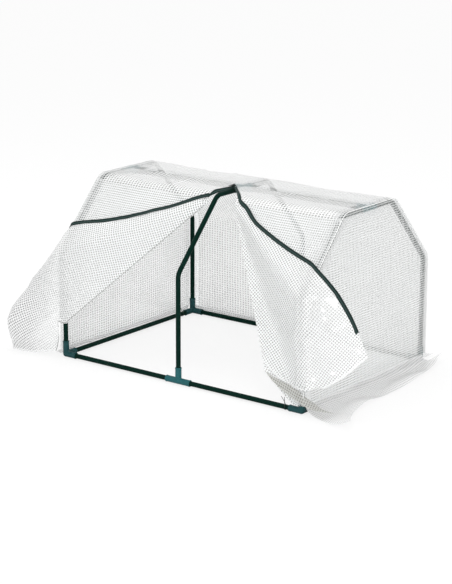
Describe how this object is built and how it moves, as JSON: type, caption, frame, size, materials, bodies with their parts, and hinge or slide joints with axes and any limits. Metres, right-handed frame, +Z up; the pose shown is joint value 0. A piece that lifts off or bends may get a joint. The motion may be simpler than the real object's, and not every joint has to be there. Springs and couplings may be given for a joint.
{
  "type": "mini greenhouse",
  "caption": "Low six-sided tube frame under a sewn net-reinforced film cover with a ground skirt; the zipped front is open and both its flaps are folded back.",
  "frame": {"origin": "on the ground, at the middle of the footprint of frame and skirt, under the ridge cross", "axes": "+X along the length to the right as seen from the open front, +Y from the front to the rear, +Z up"},
  "size_m": [1.4312, 0.8803, 0.6119],
  "materials": {
    "tube": "dark green powder coat, satin",
    "connector": "moulded, dull teal",
    "cloth": "clear film over a white net of threads",
    "piping": "white sewn binding",
    "tape": "woven dark green tape",
    "slider": "dark paint, satin",
    "tie": "dark cord"
  },
  "bodies": {
    "frame": {"front_rail_left": "tube", "front_rail_right": "tube", "rear_rail_left": "tube", "rear_rail_right": "tube", "left_end_rail": "tube", "right_end_rail": "tube", "left_ridge_tube": "tube", "right_ridge_tube": "tube", "left_hoop_front": "tube", "left_hoop_rear": "tube", "centre_hoop_front": "tube", "centre_hoop_rear": "tube", "right_hoop_front": "tube", "right_hoop_rear": "tube", "front_left_corner": "connector", "front_right_corner": "connector", "rear_left_corner": "connector", "rear_right_corner": "connector", "front_base_tee": "connector", "rear_base_tee": "connector", "ridge_tee_left": "connector", "ridge_cross": "connector", "ridge_tee_right": "connector", "front_right_tie": "tie", "rear_left_tie": "tie"},
    "cover": {"cover_roof": "cloth", "cover_rear_slope": "cloth", "cover_rear_wall": "cloth", "cover_front_left": "cloth", "cover_front_right": "cloth", "cover_left_end": "cloth", "cover_right_end": "cloth", "left_end_piping": "piping", "right_end_piping": "piping", "rear_skirt": "cloth", "right_skirt": "cloth", "left_skirt": "cloth", "front_skirt_right": "cloth", "zip_tape_roof_left": "tape", "zip_tape_roof_right": "tape"},
    "left_flap": {"left_flap": "cloth", "left_flap_tape": "tape"},
    "right_flap": {"right_flap": "cloth", "right_flap_tape": "tape"},
    "zip_slider": {"zip_slider": "slider"},
    "zip_pull": {"zip_pull": "slider"}
  },
  "joints": [
    {"name": "cover_lift", "type": "slide", "parent": "frame", "child": "cover", "axis": [0, 0, 1], "range_m": [0, 0.65]},
    {"name": "left_flap_swing", "type": "hinge", "parent": "cover", "child": "left_flap", "pos_m": [-0.00931, -0.16668, 0.57209], "axis": [0.6887, 0.2809, 0.6684], "range_deg": [0, 90]},
    {"name": "right_flap_swing", "type": "hinge", "parent": "cover", "child": "right_flap", "pos_m": [0.08764, -0.16658, 0.57441], "axis": [0.4743, -0.3372, -0.8132], "range_deg": [0, 120]},
    {"name": "zip_slide", "type": "slide", "parent": "cover", "child": "zip_slider", "axis": [0, -1, 0], "range_m": [0, 0.055]},
    {"name": "zip_pull_swing", "type": "hinge", "parent": "zip_slider", "child": "zip_pull", "pos_m": [0, -0.0515, 0.6095], "axis": [-1, 0, 0], "range_deg": [0, 175]}
  ]
}
